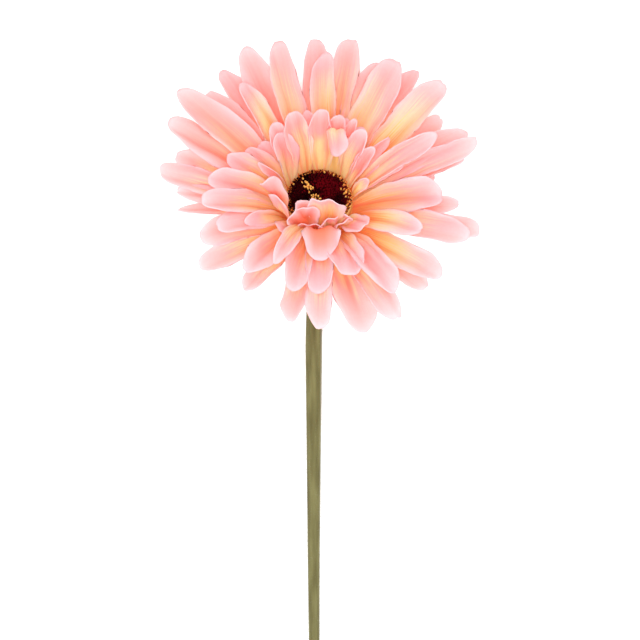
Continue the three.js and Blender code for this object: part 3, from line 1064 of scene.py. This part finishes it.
    def bent(self, point: Vector, crease: Crease) -> Vector:
        """Bend a point over a crease, round a soft fold of the crease's radius.

        Args:
            point: A point of the sheet.
            crease: The fold.

        Returns:
            The point, which stays where it is on the near side of the fold.
        """
        middle, forward, sideways = self.hinges[crease]
        face = forward.cross(sideways)
        line = sideways * cosd(crease.slant) + forward * sind(crease.slant)
        past = forward * cosd(crease.slant) - sideways * sind(crease.slant)
        offset = point - middle
        reach = offset.dot(past)
        if reach <= 0:
            return point
        turn = min(reach / crease.radius, math.radians(abs(crease.angle)))
        rest = reach - crease.radius * turn
        side = math.copysign(1.0, crease.angle)
        height = offset.dot(face) * side
        forth = crease.radius * math.sin(turn) + rest * math.cos(turn) - height * math.sin(turn)
        up = crease.radius * (1 - math.cos(turn)) + rest * math.sin(turn) + height * math.cos(turn)
        return middle + line * offset.dot(line) + past * forth + face * (up * side)

    def numbers(self, across: float, share: float, along: float, valley: float) -> dict[str, float]:
        """Work out what the petal's finish reads at a point.

        Args:
            across: From -1 at one edge to 1 at the other.
            share: From 0 at the root to 1 at the end of this lengthwise line.
            along: How far along the petal the point is.
            valley: How deep in a fold it is.

        Returns:
            The point's numbers by name. It is painted palest, as a highlight, at the edges and at the tips on
            the stem's side.
        """
        # Painted highlight at the edges and, by painted_sunlight, at the tips on the stem's side; frost
        # bleaches the outer half.
        edge = max(abs(across) ** 2.5, share**14) * smooth(0.1, 0.7, share)
        painted_sunlight = self.painted_sunlight[0] - self.painted_sunlight[1] * sind(self.petal.azimuth)
        bleached = self.petal.frost * smooth(0.4, 0.7, share)
        pale = self.edge_paleness * edge + self.tip_paleness * painted_sunlight * smooth(0.45, 1.0, share) + bleached
        return {
            "along": max(0.0, along),
            "across": across,
            "tint": self.petal.pink + self.quirks.blush_side * across,
            "valley": valley,
            # Painted shade, strongest mid-face and fading towards the tip and the edges.
            "painted_shade": self.petal.painted_shade * (1 - abs(across) ** 3) * (1 - 0.8 * smooth(0.5, 1.0, along)),
            "pale": min(1.0, pale),
        }


@dataclass(frozen=True)
class Base:
    """A ring's slice of the flower's base."""

    top: float
    bottom: float
    radius: float


@dataclass(frozen=True)
class PetalRing:
    """One ring of petals on its slice of the flower's base.

    settling is how far before each side of the solid's box the petals start to ease off, on every axis.
    """

    name: str
    node: str
    slot: str
    finish: PetalFinish
    rows: tuple[Row, ...]
    base: Base
    seed: int
    columns: int = 16
    stations: int = 36
    thickness: float = 0.36
    settling: tuple[float, float, float] = (2.0, 2.0, 0.8)

    def build(self, place: Matrix) -> Piece:
        """Build the ring and dress it.

        Args:
            place: The bloom's frame.

        Returns:
            The finished piece.
        """
        mesh = bmesh.new()
        names = ("along", "across", "tint", "valley", "painted_shade", "pale")
        layers = {name: mesh.verts.layers.float.new(name) for name in names}
        draws = Draws(self.seed)
        for row in self.rows:
            for petal in row.petals:
                self.add_petal(mesh, layers, PetalSheet(row, petal, Quirks.drawn(draws)))
        self.settle(mesh, place)
        self.add_base(mesh)
        piece = finish_piece(mesh, self.name, place, [self.finish.material()])
        thicken = piece.modifiers.new("thickness", "SOLIDIFY")
        thicken.thickness = self.thickness * MM
        thicken.offset = 0.0
        stand_for(piece, self.node, self.slot)
        return piece

    def add_petal(self, mesh: Mesh, layers: Layers, sheet: PetalSheet) -> None:
        """Add one petal, as a grid whose points are moved onto its surface.

        Args:
            mesh: The ring's mesh.
            layers: The mesh's own numbers, by name.
            sheet: The petal's surface.
        """
        grid = bmesh.ops.create_grid(mesh, x_segments=self.columns, y_segments=self.stations, size=1.0)
        for vert in grid["verts"]:
            across = math.sin(math.pi / 2 * vert.co.x)
            share = (vert.co.y + 1) / 2
            vert.co, along, valley = sheet.point(across, share)
            for name, number in sheet.numbers(across, share, along, valley).items():
                vert[layers[name]] = number

    def settle(self, mesh: Mesh, place: Matrix) -> None:
        """Ease the petals' tips back inside the solid part's box, so that the lowest lie on the surface.

        Args:
            mesh: The ring's mesh.
            place: The bloom's frame.
        """
        low, high = (Vector(corner) / MM for corner in CAD_BOX)
        back = place.inverted()
        for vert in mesh.verts:
            point = place @ vert.co
            for axis, soft in enumerate(self.settling):
                limits = (low[axis] + self.thickness, high[axis] - self.thickness)
                point[axis] = eased(point[axis], *limits, soft)
            vert.co = back @ point

    def add_base(self, mesh: Mesh) -> None:
        """Add the slice of the flower's base that the petals grow from.

        Args:
            mesh: The ring's mesh.
        """
        bmesh.ops.create_cone(
            mesh,
            cap_ends=True,
            segments=64,
            radius1=self.base.radius,
            radius2=self.base.radius,
            depth=self.base.top - self.base.bottom,
            matrix=Matrix.Translation((0, 0, (self.base.top + self.base.bottom) / 2)),
        )


# The outer and middle rings' orange roots are partly the petals' own colour and partly painted shade deep in
# the crown.
RINGS = (
    PetalRing(
        "outer_petals_fine",
        "outer_ray_petals",
        "outer_petals",
        PetalFinish(
            "outer petal", (255, 184, 98), (255, 236, 164), (255, 236, 208), (255, 196, 202), (255, 202, 212)
        ),
        (OUTER_LOWER, OUTER_UPPER),
        Base(top=-6.3, bottom=-9.4, radius=12.2),
        seed=1009,
    ),
    PetalRing(
        "middle_petals_fine",
        "middle_ray_petals",
        "middle_petals",
        PetalFinish(
            "middle petal", (255, 172, 88), (255, 230, 150), (255, 229, 192), (255, 194, 200), (255, 206, 218)
        ),
        (MIDDLE,),
        Base(top=-3.3, bottom=-6.0, radius=11.9),
        seed=2003,
    ),
    PetalRing(
        "inner_petals_fine",
        "inner_ray_petals",
        "inner_petals",
        PetalFinish(
            "inner petal", (255, 230, 142), (255, 252, 192), (255, 240, 188), (255, 184, 186), (255, 196, 204)
        ),
        (INNER,),
        Base(top=-0.4, bottom=-3.0, radius=11.5),
        seed=3001,
    ),
)


# ---- Disc ----


class Tone(Enum):
    """The finishes on the disc."""

    VELVET = PlainFinish("burgundy velvet", (34, 0, 4), (112, 2, 16), 120, 0.85, 0.0002, 0.0, 0.04)
    # Painted shade: a darker copy of the velvet for the florets on the disc's shaded left side.
    PAINTED_SHADE_VELVET = PlainFinish("velvet in painted shade", (8, 0, 1), (46, 1, 5), 120, 0.85, 0.0002, 0.0, 0.03)
    GOLD = PlainFinish("golden pollen", (214, 132, 40), (255, 205, 110), 1200, 0.7, 0.0001, 0.0)
    AMBER = PlainFinish("amber fringe", (110, 34, 14), (214, 112, 44), 900, 0.8, 0.0001, 0.0, 0.1)
    RUST = PlainFinish("rust pollen", (196, 92, 40), (246, 158, 84), 900, 0.8, 0.0001, 0.0, 0.1)


Toned = tuple[Mesh, tuple[Tone, ...]]


def planted(root: Sequence[float], azimuth: float, lean: float, wide: float, tall: float) -> Matrix:
    """Find the placement of a small shape that stands on its root.

    Args:
        root: Where its root is.
        azimuth: The direction in which it leans, in radians.
        lean: How far it leans, in radians.
        wide: How many times wider it is made, in the direction of its lean.
        tall: How many times taller it is made.

    Returns:
        The placement.
    """
    turned = Matrix.Translation(root) @ Matrix.Rotation(azimuth, 4, "Z") @ Matrix.Rotation(lean, 4, "Y")
    return turned @ Matrix.Diagonal((wide, 1, tall, 1))


@dataclass(frozen=True)
class Disc:
    """The dark domed disc: a velvety dome set with florets in spirals, with golden pollen tips on some.

    The dome lies a little inside the florets' roots, by sink. spiral_turn, in radians, is the golden angle
    from one floret to the next. Most of the gold is on one streak, between two places on the disc.
    """

    radius: float = 11.3
    dome: float = 3.4
    sink: float = 0.2
    florets: int = 900
    floret_radius: float = 0.3
    floret_height: float = 1.2
    floret_margin: float = 0.35
    spiral_turn: float = math.pi * (3 - math.sqrt(5))
    bristles: int = 900
    bristle_length: float = 1.1
    bristle_radii: tuple[float, float] = (0.09, 0.15)
    streak_start: tuple[float, float] = (-5.4, 6.0)
    streak_end: tuple[float, float] = (-0.8, -2.6)

    def height(self, distance: float) -> float:
        """Find the florets' roots' height at a distance from the disc's middle."""
        return self.dome * (1 - (distance / self.radius) ** 2)

    def build(self, place: Matrix) -> list[Piece]:
        """Build the dome, its florets and the fringe round them.

        Args:
            place: The bloom's frame.

        Returns:
            The finished pieces.
        """
        materials = {tone: tone.value.material() for tone in Tone}
        pieces = []
        for name, (mesh, tones) in (
            ("disc_dome", self.dome_mesh()),
            ("disc_florets_fine", self.floret_mesh()),
            ("disc_fringe", self.fringe_mesh()),
        ):
            piece = finish_piece(mesh, name, place, [materials[tone] for tone in tones])
            stand_for(piece, "disc_florets", "disc")
            pieces.append(piece)
        return pieces

    def gilding(self, x: float, y: float) -> float:
        """Find how likely a floret is to be golden: most along the streak, and then at the rim.

        Args:
            x: The floret's place across the disc.
            y: Its place along the disc.

        Returns:
            A share from 0 to 1.
        """
        start, end = Vector(self.streak_start), Vector(self.streak_end)
        offset, run = Vector((x, y)) - start, end - start
        share = min(1.0, max(0.0, offset.dot(run) / run.length_squared))
        streak = 1 - smooth(0.2, 1.2 + 0.9 * share, (offset - run * share).length)
        distance = math.hypot(x, y) / self.radius
        rim = 0.2 * smooth(0.84, 0.97, distance)
        right = 0.3 * smooth(0.55, 0.9, distance) * smooth(0.5, 0.8, x / self.radius)
        return 0.01 + 0.62 * streak + rim + right

    def dome_mesh(self) -> Toned:
        """Build the dome that the florets stand on.

        Returns:
            The mesh, and its tones in the order of the faces' indices.
        """
        mesh = bmesh.new()
        bmesh.ops.create_circle(mesh, cap_ends=True, radius=self.radius - self.sink, segments=64)
        bmesh.ops.inset_region(mesh, faces=mesh.faces[:], thickness=2.0, depth=0.0)
        top = max(mesh.faces, key=lambda face: len(face.verts))
        bmesh.ops.poke(mesh, faces=[top])
        for vert in mesh.verts:
            vert.co.z = self.height(Vector(vert.co.xy).length) - self.sink
        return mesh, (Tone.VELVET,)

    def floret_mesh(self) -> Toned:
        """Build the florets, with painted shade on the left, and rust instead of gold on every second one
        near the rim.

        Returns:
            The mesh, and its tones in the order of the faces' indices.
        """
        tones = (Tone.VELVET, Tone.GOLD, Tone.PAINTED_SHADE_VELVET, Tone.RUST)
        draws = Draws(7331)
        places, finishes = [], []
        for index in range(self.florets):
            distance = (self.radius - self.floret_margin) * math.sqrt((index + 0.5) / self.florets)
            angle = index * self.spiral_turn
            lean = 0.5 * distance / self.radius + draws.between(-0.4, 0.4)
            x = distance * math.cos(angle) + draws.between(-0.3, 0.3)
            y = distance * math.sin(angle) + draws.between(-0.3, 0.3)
            golden = draws.between(0, 1) < self.gilding(x, y)
            # Painted shade: florets on the left take the darker velvet.
            dark = draws.between(0, 1) < smooth(-0.3, 0.6, -x / self.radius)
            at_rim = distance > 0.75 * self.radius and index % 2 == 1
            if golden:
                finishes.append(tones.index(Tone.RUST if at_rim else Tone.GOLD))
            else:
                finishes.append(tones.index(Tone.PAINTED_SHADE_VELVET if dark else Tone.VELVET))
            wide = draws.between(0.9, 1.6) if golden else 1.0
            tall = draws.between(0.7, 1.25) + (0.15 if golden else 0.0)
            places.append(planted((x, y, self.height(distance)), angle, lean, wide, tall))
        template = spike(6, self.floret_radius * 0.8, self.floret_radius, self.floret_height, rise=0.3)
        return scatter(template, places, finishes), tones

    def fringe_mesh(self) -> Toned:
        """Build the fringe of fine bristles round the disc, which lean out over the petals' roots.

        Returns:
            The mesh, and its tones in the order of the faces' indices.
        """
        tones = (Tone.VELVET, Tone.GOLD, Tone.AMBER)
        draws = Draws(8623)
        places, finishes = [], []
        for _ in range(self.bristles):
            angle = draws.between(0, FULL_TURN)
            distance = self.radius + draws.between(-1.4, 0.0)
            lean = draws.between(0.0, 0.6)
            root = (distance * math.cos(angle), distance * math.sin(angle), self.height(distance) - self.sink)
            azimuth = angle + draws.between(-0.4, 0.4)
            places.append(planted(root, azimuth, lean, 1, draws.between(0.6, 1.15)))
            pick = draws.between(0, 1)
            tone = Tone.AMBER if pick < 0.6 else Tone.GOLD if pick < 0.68 else Tone.VELVET
            finishes.append(tones.index(tone))
        return scatter(spike(4, *self.bristle_radii, self.bristle_length), places, finishes), tones


# ---- Cup ----


@dataclass(frozen=True)
class BractRow:
    """A row of bracts.

    reach is how far up the bowl they go, as a share of its height, and proud how far they stand off it.
    spread is half a bract's width, in radians, and offset turns the row, as a share of a bract's place.
    """

    count: int
    reach: float
    proud: float
    spread: float
    offset: float


@dataclass(frozen=True)
class Involucre:
    """The green cup under the bloom: a bowl with rows of narrow, pointed, overlapping bracts."""

    top: float = -9.7
    bottom: float = -17.0
    top_radius: float = 13.4
    bottom_radius: float = 3.2
    rows: tuple[BractRow, ...] = (
        BractRow(count=21, reach=1.1, proud=0.25, spread=0.16, offset=0.0),
        BractRow(count=18, reach=0.86, proud=0.55, spread=0.15, offset=0.4),
        BractRow(count=13, reach=0.6, proud=0.8, spread=0.2, offset=0.1),
    )
    profile_steps: int = 12
    bowl_sides: int = 64
    bract_columns: int = 6
    bract_stations: int = 12

    def bowl_radius(self, share: float) -> float:
        """Find the bowl's radius at a share of its height."""
        flare = math.sin(math.pi / 2 * share) ** 0.8
        return self.bottom_radius + (self.top_radius - self.bottom_radius) * flare

    def height(self, share: float) -> float:
        """Find the height at a share of the bowl's own."""
        return self.bottom + (self.top - self.bottom) * share

    def build(self, place: Matrix) -> Piece:
        """Build the cup.

        Args:
            place: The bloom's frame.

        Returns:
            The finished piece.
        """
        mesh = bmesh.new()
        layers = {name: mesh.verts.layers.float.new(name) for name in ("along", "across", "tint")}
        self.add_bowl(mesh)
        draws = Draws(4099)
        for row in self.rows:
            for index in range(row.count):
                self.add_bract(mesh, layers, row, FULL_TURN * (index + row.offset) / row.count, draws)
        cup = finish_piece(mesh, "involucre_fine", place, [BractFinish().material()])
        stand_for(cup, "involucre", "involucre")
        return cup

    def add_bowl(self, mesh: Mesh) -> None:
        """Spin the bowl's profile round the bloom's axis.

        Args:
            mesh: The cup's mesh.
        """
        shares = [0, 0, *(step / self.profile_steps for step in range(1, self.profile_steps + 1)), 1]
        radii = [0, *(self.bowl_radius(share) for share in shares[1:-1]), 0]
        corners = [mesh.verts.new((radius, 0, self.height(share))) for radius, share in zip(radii, shares)]
        edges = [mesh.edges.new(pair) for pair in zip(corners, corners[1:])]
        bmesh.ops.spin(
            mesh,
            geom=corners + edges,
            axis=(0, 0, 1),
            cent=(0, 0, 0),
            angle=FULL_TURN,
            steps=self.bowl_sides,
            use_merge=True,
        )
        bmesh.ops.remove_doubles(mesh, verts=mesh.verts[:], dist=0.0005)
        bmesh.ops.recalc_face_normals(mesh, faces=mesh.faces[:])

    def add_bract(self, mesh: Mesh, layers: Layers, row: BractRow, angle: float, draws: Draws) -> None:
        """Add one bract, which lies on the bowl and points up at the petals.

        Args:
            mesh: The cup's mesh.
            layers: The mesh's own numbers, by name.
            row: The bract's row.
            angle: Where it stands round the bowl, in radians.
            draws: The stream that gives it its tint, reach and lean.
        """
        tint = draws.between(0, 1)
        reach = row.reach * draws.between(0.94, 1.03)
        lean = draws.between(-0.03, 0.03)
        skins = []
        for side in (1, -1):
            grid = bmesh.ops.create_grid(
                mesh, x_segments=self.bract_columns, y_segments=self.bract_stations, size=1.0
            )
            for vert in grid["verts"]:
                across, along = vert.co.x, (vert.co.y + 1) / 2
                share = along * reach
                past = max(0.0, share - 0.93)
                thick = side * (0.3 * (1 - across**2) + 0.06)
                proud = row.proud + 0.5 * along + 6 * past - 0.25 * across**2 + thick
                out = self.bowl_radius(min(1.0, share)) + proud
                half = row.spread * math.sin(math.pi * (0.22 + 0.76 * along)) ** 0.7 * (1.15 - 0.3 * along)
                spread = angle + across * half + lean * along
                vert.co = Vector((out * math.cos(spread), out * math.sin(spread), self.height(share)))
                for name, number in (("along", along), ("across", across), ("tint", tint)):
                    vert[layers[name]] = number
            skins.append(grid["verts"])
        inner_faces = {face for vert in skins[1] for face in vert.link_faces}
        bmesh.ops.reverse_faces(mesh, faces=list(inner_faces))
        rims = {edge for skin in skins for vert in skin for edge in vert.link_edges if edge.is_boundary}
        bmesh.ops.bridge_loops(mesh, edges=list(rims))


# ---- Stem ----


@dataclass
class Route:
    """The stem's midline: out of the cup along the bloom's axis, round a bend and along the surface.

    The stem thins from its shoulder on, swings sideways by offset over swing_length, and bows from bow_start
    on. rise is how far it clears the surface where it leaves the bend. Every distance is from its top, and
    turn, the bend's angle, is in radians.
    """

    place: Matrix
    slim_radius: float = 1.75
    shoulder: float = 50.0
    slim_length: float = 190.0
    thinning: float = 1.4
    bend: float = 12.0
    rise: float = 0.5
    swing_length: float = 45.0
    offset: float = -1.9
    bow_start: float = 105.0
    bow: float = 14.0
    end_clearance: float = 0.15
    axis: Vector = field(init=False)
    top: Vector = field(init=False)
    turn: float = field(init=False)
    straight: float = field(init=False)
    bend_start: Vector = field(init=False)
    neck_length: float = field(init=False)
    run_start: float = field(init=False)
    length: float = field(init=False)

    def __post_init__(self) -> None:
        """Work out where the straight, the bend and the run along the surface start and end."""
        self.axis = self.place.to_3x3() @ Vector((0, 0, 1))
        self.top = self.place @ Vector((0, 0, STALK_TOP))
        self.turn = math.pi / 2 - math.radians(HEAD_TILT)
        low = NECK_RADIUS + self.rise
        self.straight = (self.top.z - self.bend * (1 - math.cos(self.turn)) - low) / self.axis.z
        self.bend_start = self.top - self.axis * self.straight
        self.neck_length = self.straight + self.bend * self.turn
        self.run_start = self.bend_start.y - self.bend * math.sin(self.turn)
        self.length = self.neck_length + self.run_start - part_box("stem")[0].y / MM - self.end_clearance

    def radius(self, distance: float) -> float:
        """Find the stem's radius at a distance."""
        share = min(1.0, max(0.0, distance - self.shoulder) / (self.slim_length - self.shoulder))
        return self.slim_radius + (NECK_RADIUS - self.slim_radius) * (1 - share) ** self.thinning

    def point(self, distance: float) -> Vector:
        """Find the midline's point.

        Args:
            distance: How far it is from the stem's top, along the midline.

        Returns:
            The point there.
        """
        past = max(0.0, (distance - self.bow_start) / self.length)
        x = self.top.x + self.offset * smooth(0, self.swing_length, distance) + self.bow * past**2
        if distance < self.straight:
            along = self.top - self.axis * distance
            return Vector((x, along.y, along.z))
        if distance < self.neck_length:
            angle = (distance - self.straight) / self.bend
            reach = self.bend * (math.sin(self.turn) - math.sin(self.turn - angle))
            drop = self.bend * (math.cos(self.turn - angle) - math.cos(self.turn))
            return Vector((x, self.bend_start.y - reach, self.bend_start.z - drop))
        share = (distance - self.neck_length) / (self.length - self.neck_length)
        height = self.radius(distance) + self.rise * (1 - share)
        return Vector((x, self.run_start - (distance - self.neck_length), height))

    def section(self, distance: float) -> tuple[Vector, Vector, Vector, Vector]:
        """Find the stem's cross-section.

        Args:
            distance: How far it is from the stem's top.

        Returns:
            The midline's point and direction there, and the section's two axes.
        """
        before = self.point(max(0.0, distance - 0.5))
        forward = (self.point(min(self.length, distance + 0.5)) - before).normalized()
        side = (Vector((1, 0, 0)) - forward * forward.x).normalized()
        return self.point(distance), forward, side, forward.cross(side)


@dataclass(frozen=True)
class Stem:
    """The bare stem, with soft ribs and short down on its stalk and a hollowed cut end.

    The ribs turn by rib_twist, in radians a millimetre, and are at their full depth from rib_start on.
    """

    route: Route
    rib_count: int = 9
    rib_depth: float = 0.045
    rib_twist: float = 0.012
    rib_start: float = 12.0
    rings: int = 320
    ring_crowding: float = 1.3
    sides: int = 54
    cut_rim: float = 0.35
    cut_slope: float = 0.3
    cut_depth: float = 0.35
    hairs: int = 9000
    hair_length: float = 0.42
    hair_radius: float = 0.03

    def build(self) -> list[Piece]:
        """Build the stalk and its down.

        Returns:
            The finished pieces.
        """
        olive = StemFinish().material()
        pieces = []
        for name, mesh in (("stem_fine", self.stalk_mesh()), ("stem_down", self.down_mesh())):
            piece = finish_piece(mesh, name, Matrix.Identity(4), [olive])
            stand_for(piece, "stem", "stem")
            pieces.append(piece)
        return pieces

    def outline(self, distance: float, angle: float) -> float:
        """Find the stalk's radius in one direction, with its soft ribs.

        Args:
            distance: How far it is from the stem's top.
            angle: The direction in the cross-section, in radians.

        Returns:
            The radius.
        """
        rib = 0.5 - 0.5 * math.cos(self.rib_count * angle + self.rib_twist * distance)
        groove = self.rib_depth * rib * smooth(0.0, self.rib_start, distance)
        return self.route.radius(distance) * (1 - groove)

    def stalk_mesh(self) -> Mesh:
        """Build the stalk, as a grid wrapped round the midline and closed at both ends.

        Returns:
            The mesh.
        """
        mesh = bmesh.new()
        bmesh.ops.create_grid(mesh, x_segments=self.sides, y_segments=self.rings, size=1.0)
        for vert in mesh.verts:
            angle = math.pi * (vert.co.x + 1)
            distance = self.route.length * ((vert.co.y + 1) / 2) ** self.ring_crowding
            centre, _, side, up = self.route.section(distance)
            radius = self.outline(distance, angle)
            vert.co = centre + (side * math.cos(angle) + up * math.sin(angle)) * radius
        bmesh.ops.remove_doubles(mesh, verts=mesh.verts[:], dist=0.001)
        rims = [edge for edge in mesh.edges if edge.is_boundary]
        ends = bmesh.ops.holes_fill(mesh, edges=rims, sides=0)["faces"]
        bmesh.ops.recalc_face_normals(mesh, faces=mesh.faces[:])
        cut = min(ends, key=lambda face: face.calc_center_median().y)
        bmesh.ops.inset_region(mesh, faces=[cut], thickness=self.cut_rim, depth=0.0)
        bmesh.ops.inset_region(mesh, faces=[cut], thickness=self.cut_slope, depth=-self.cut_depth)
        return mesh

    def down_mesh(self) -> Mesh:
        """Build the short down, as slim three-sided spikes that stand off the stalk and lean to its cut end.

        Returns:
            The mesh.
        """
        draws = Draws(5021)
        places = []
        while len(places) < self.hairs:
            distance = self.route.length * draws.between(0.004, 0.996)
            angle = draws.between(0, FULL_TURN)
            centre, forward, side, up = self.route.section(distance)
            out = side * math.cos(angle) + up * math.sin(angle)
            root = centre + out * (self.outline(distance, angle) - self.hair_radius)
            aim = out + forward * draws.between(-0.2, 0.8) + side.cross(out) * draws.between(-0.3, 0.3)
            aim.normalize()
            tall = draws.between(0.6, 1.1)
            if (root + aim * self.hair_length * tall).z < self.hair_radius:
                continue
            turn = aim.to_track_quat("Z", "Y").to_matrix().to_4x4()
            places.append(Matrix.Translation(root) @ turn @ Matrix.Diagonal((1, 1, tall, 1)))
        template = spike(3, self.hair_radius, self.hair_radius * 0.2, self.hair_length, capped=False)
        return scatter(template, places)


# ---- Studio ----


@dataclass(frozen=True)
class Sun:
    """One distant lamp: its strength, the angle that it fills, and where it stands."""

    name: str
    strength: float
    spread: float
    azimuth: float
    elevation: float

    def hang(self) -> None:
        """Add the lamp to the scene."""
        light = bpy.data.lights.new(self.name, "SUN")
        light.energy = self.strength
        light.angle = math.radians(self.spread)
        sun = bpy.data.objects.new(self.name, light)
        sun.rotation_euler = towards(self.azimuth, self.elevation).to_track_quat("Z", "Y").to_euler()
        bpy.context.scene.collection.objects.link(sun)


@dataclass(frozen=True)
class Studio:
    """A plain pale floor, soft light from all round and a camera straight above the bloom.

    distance is from the disc's rim to the camera. It, the floor's size and the camera's clip are in metres.
    """

    distance: float = 2.5
    floor_size: float = 12.0
    ambient: float = 0.75
    suns: tuple[Sun, ...] = (
        Sun("key", strength=1.2, spread=50, azimuth=250, elevation=60),
        Sun("front", strength=1.5, spread=15, azimuth=270, elevation=88),
        Sun("fill", strength=0.3, spread=60, azimuth=60, elevation=50),
    )
    sensor_width: float = 36.0
    clip: tuple[float, float] = (0.05, 50.0)

    def build(self, place: Matrix) -> None:
        """Set up the floor, the light and the camera.

        Args:
            place: The bloom's frame, in millimetres.
        """
        mesh = bmesh.new()
        bmesh.ops.create_grid(mesh, x_segments=1, y_segments=1, size=self.floor_size / 2 / MM)
        floor = finish_piece(mesh, "floor", Matrix.Identity(4), [FloorFinish().material()])

        world = bpy.data.worlds.new("soft light")
        world.use_nodes = True
        background = world.node_tree.nodes["Background"]
        background.inputs["Color"].default_value = (1.0, 1.0, 1.0, 1.0)
        background.inputs["Strength"].default_value = self.ambient
        bpy.context.scene.world = world
        for sun in self.suns:
            sun.hang()

        view = bpy.context.scene.view_settings
        view.view_transform = "Standard"
        view.look = "None"
        self.set_camera(place.translation * MM)

    def set_camera(self, head: Vector) -> None:
        """Hang the camera where the photograph's was, so that one of its pixels measures the same.

        Args:
            head: The middle of the disc's rim, in metres.
        """
        pixel = MM_PER_PIXEL * MM
        right, down = (PHOTO_WIDTH / 2 - place for place in DISC_PIXEL)
        camera = bpy.data.cameras.new("camera")
        camera.sensor_width = self.sensor_width
        camera.lens = camera.sensor_width * self.distance / (PHOTO_WIDTH * pixel)
        camera.clip_start, camera.clip_end = self.clip
        holder = bpy.data.objects.new("camera", camera)
        holder.location = (head.x + right * pixel, head.y - down * pixel, head.z + self.distance)
        bpy.context.scene.collection.objects.link(holder)
        bpy.context.scene.camera = holder


def main() -> None:
    """Build the flower piece by piece, then the studio round it."""
    logging.basicConfig(level=logging.INFO, format="%(name)s: %(message)s")
    place = bloom_matrix()
    for ring in RINGS:
        piece = ring.build(place)
        LOG.info("%s: %d faces", piece.name, len(piece.data.polygons))
    for piece in (*Disc().build(place), Involucre().build(place), *Stem(Route(place)).build()):
        LOG.info("%s: %d faces", piece.name, len(piece.data.polygons))
    Studio().build(place)


if __name__ == "__main__":
    main()
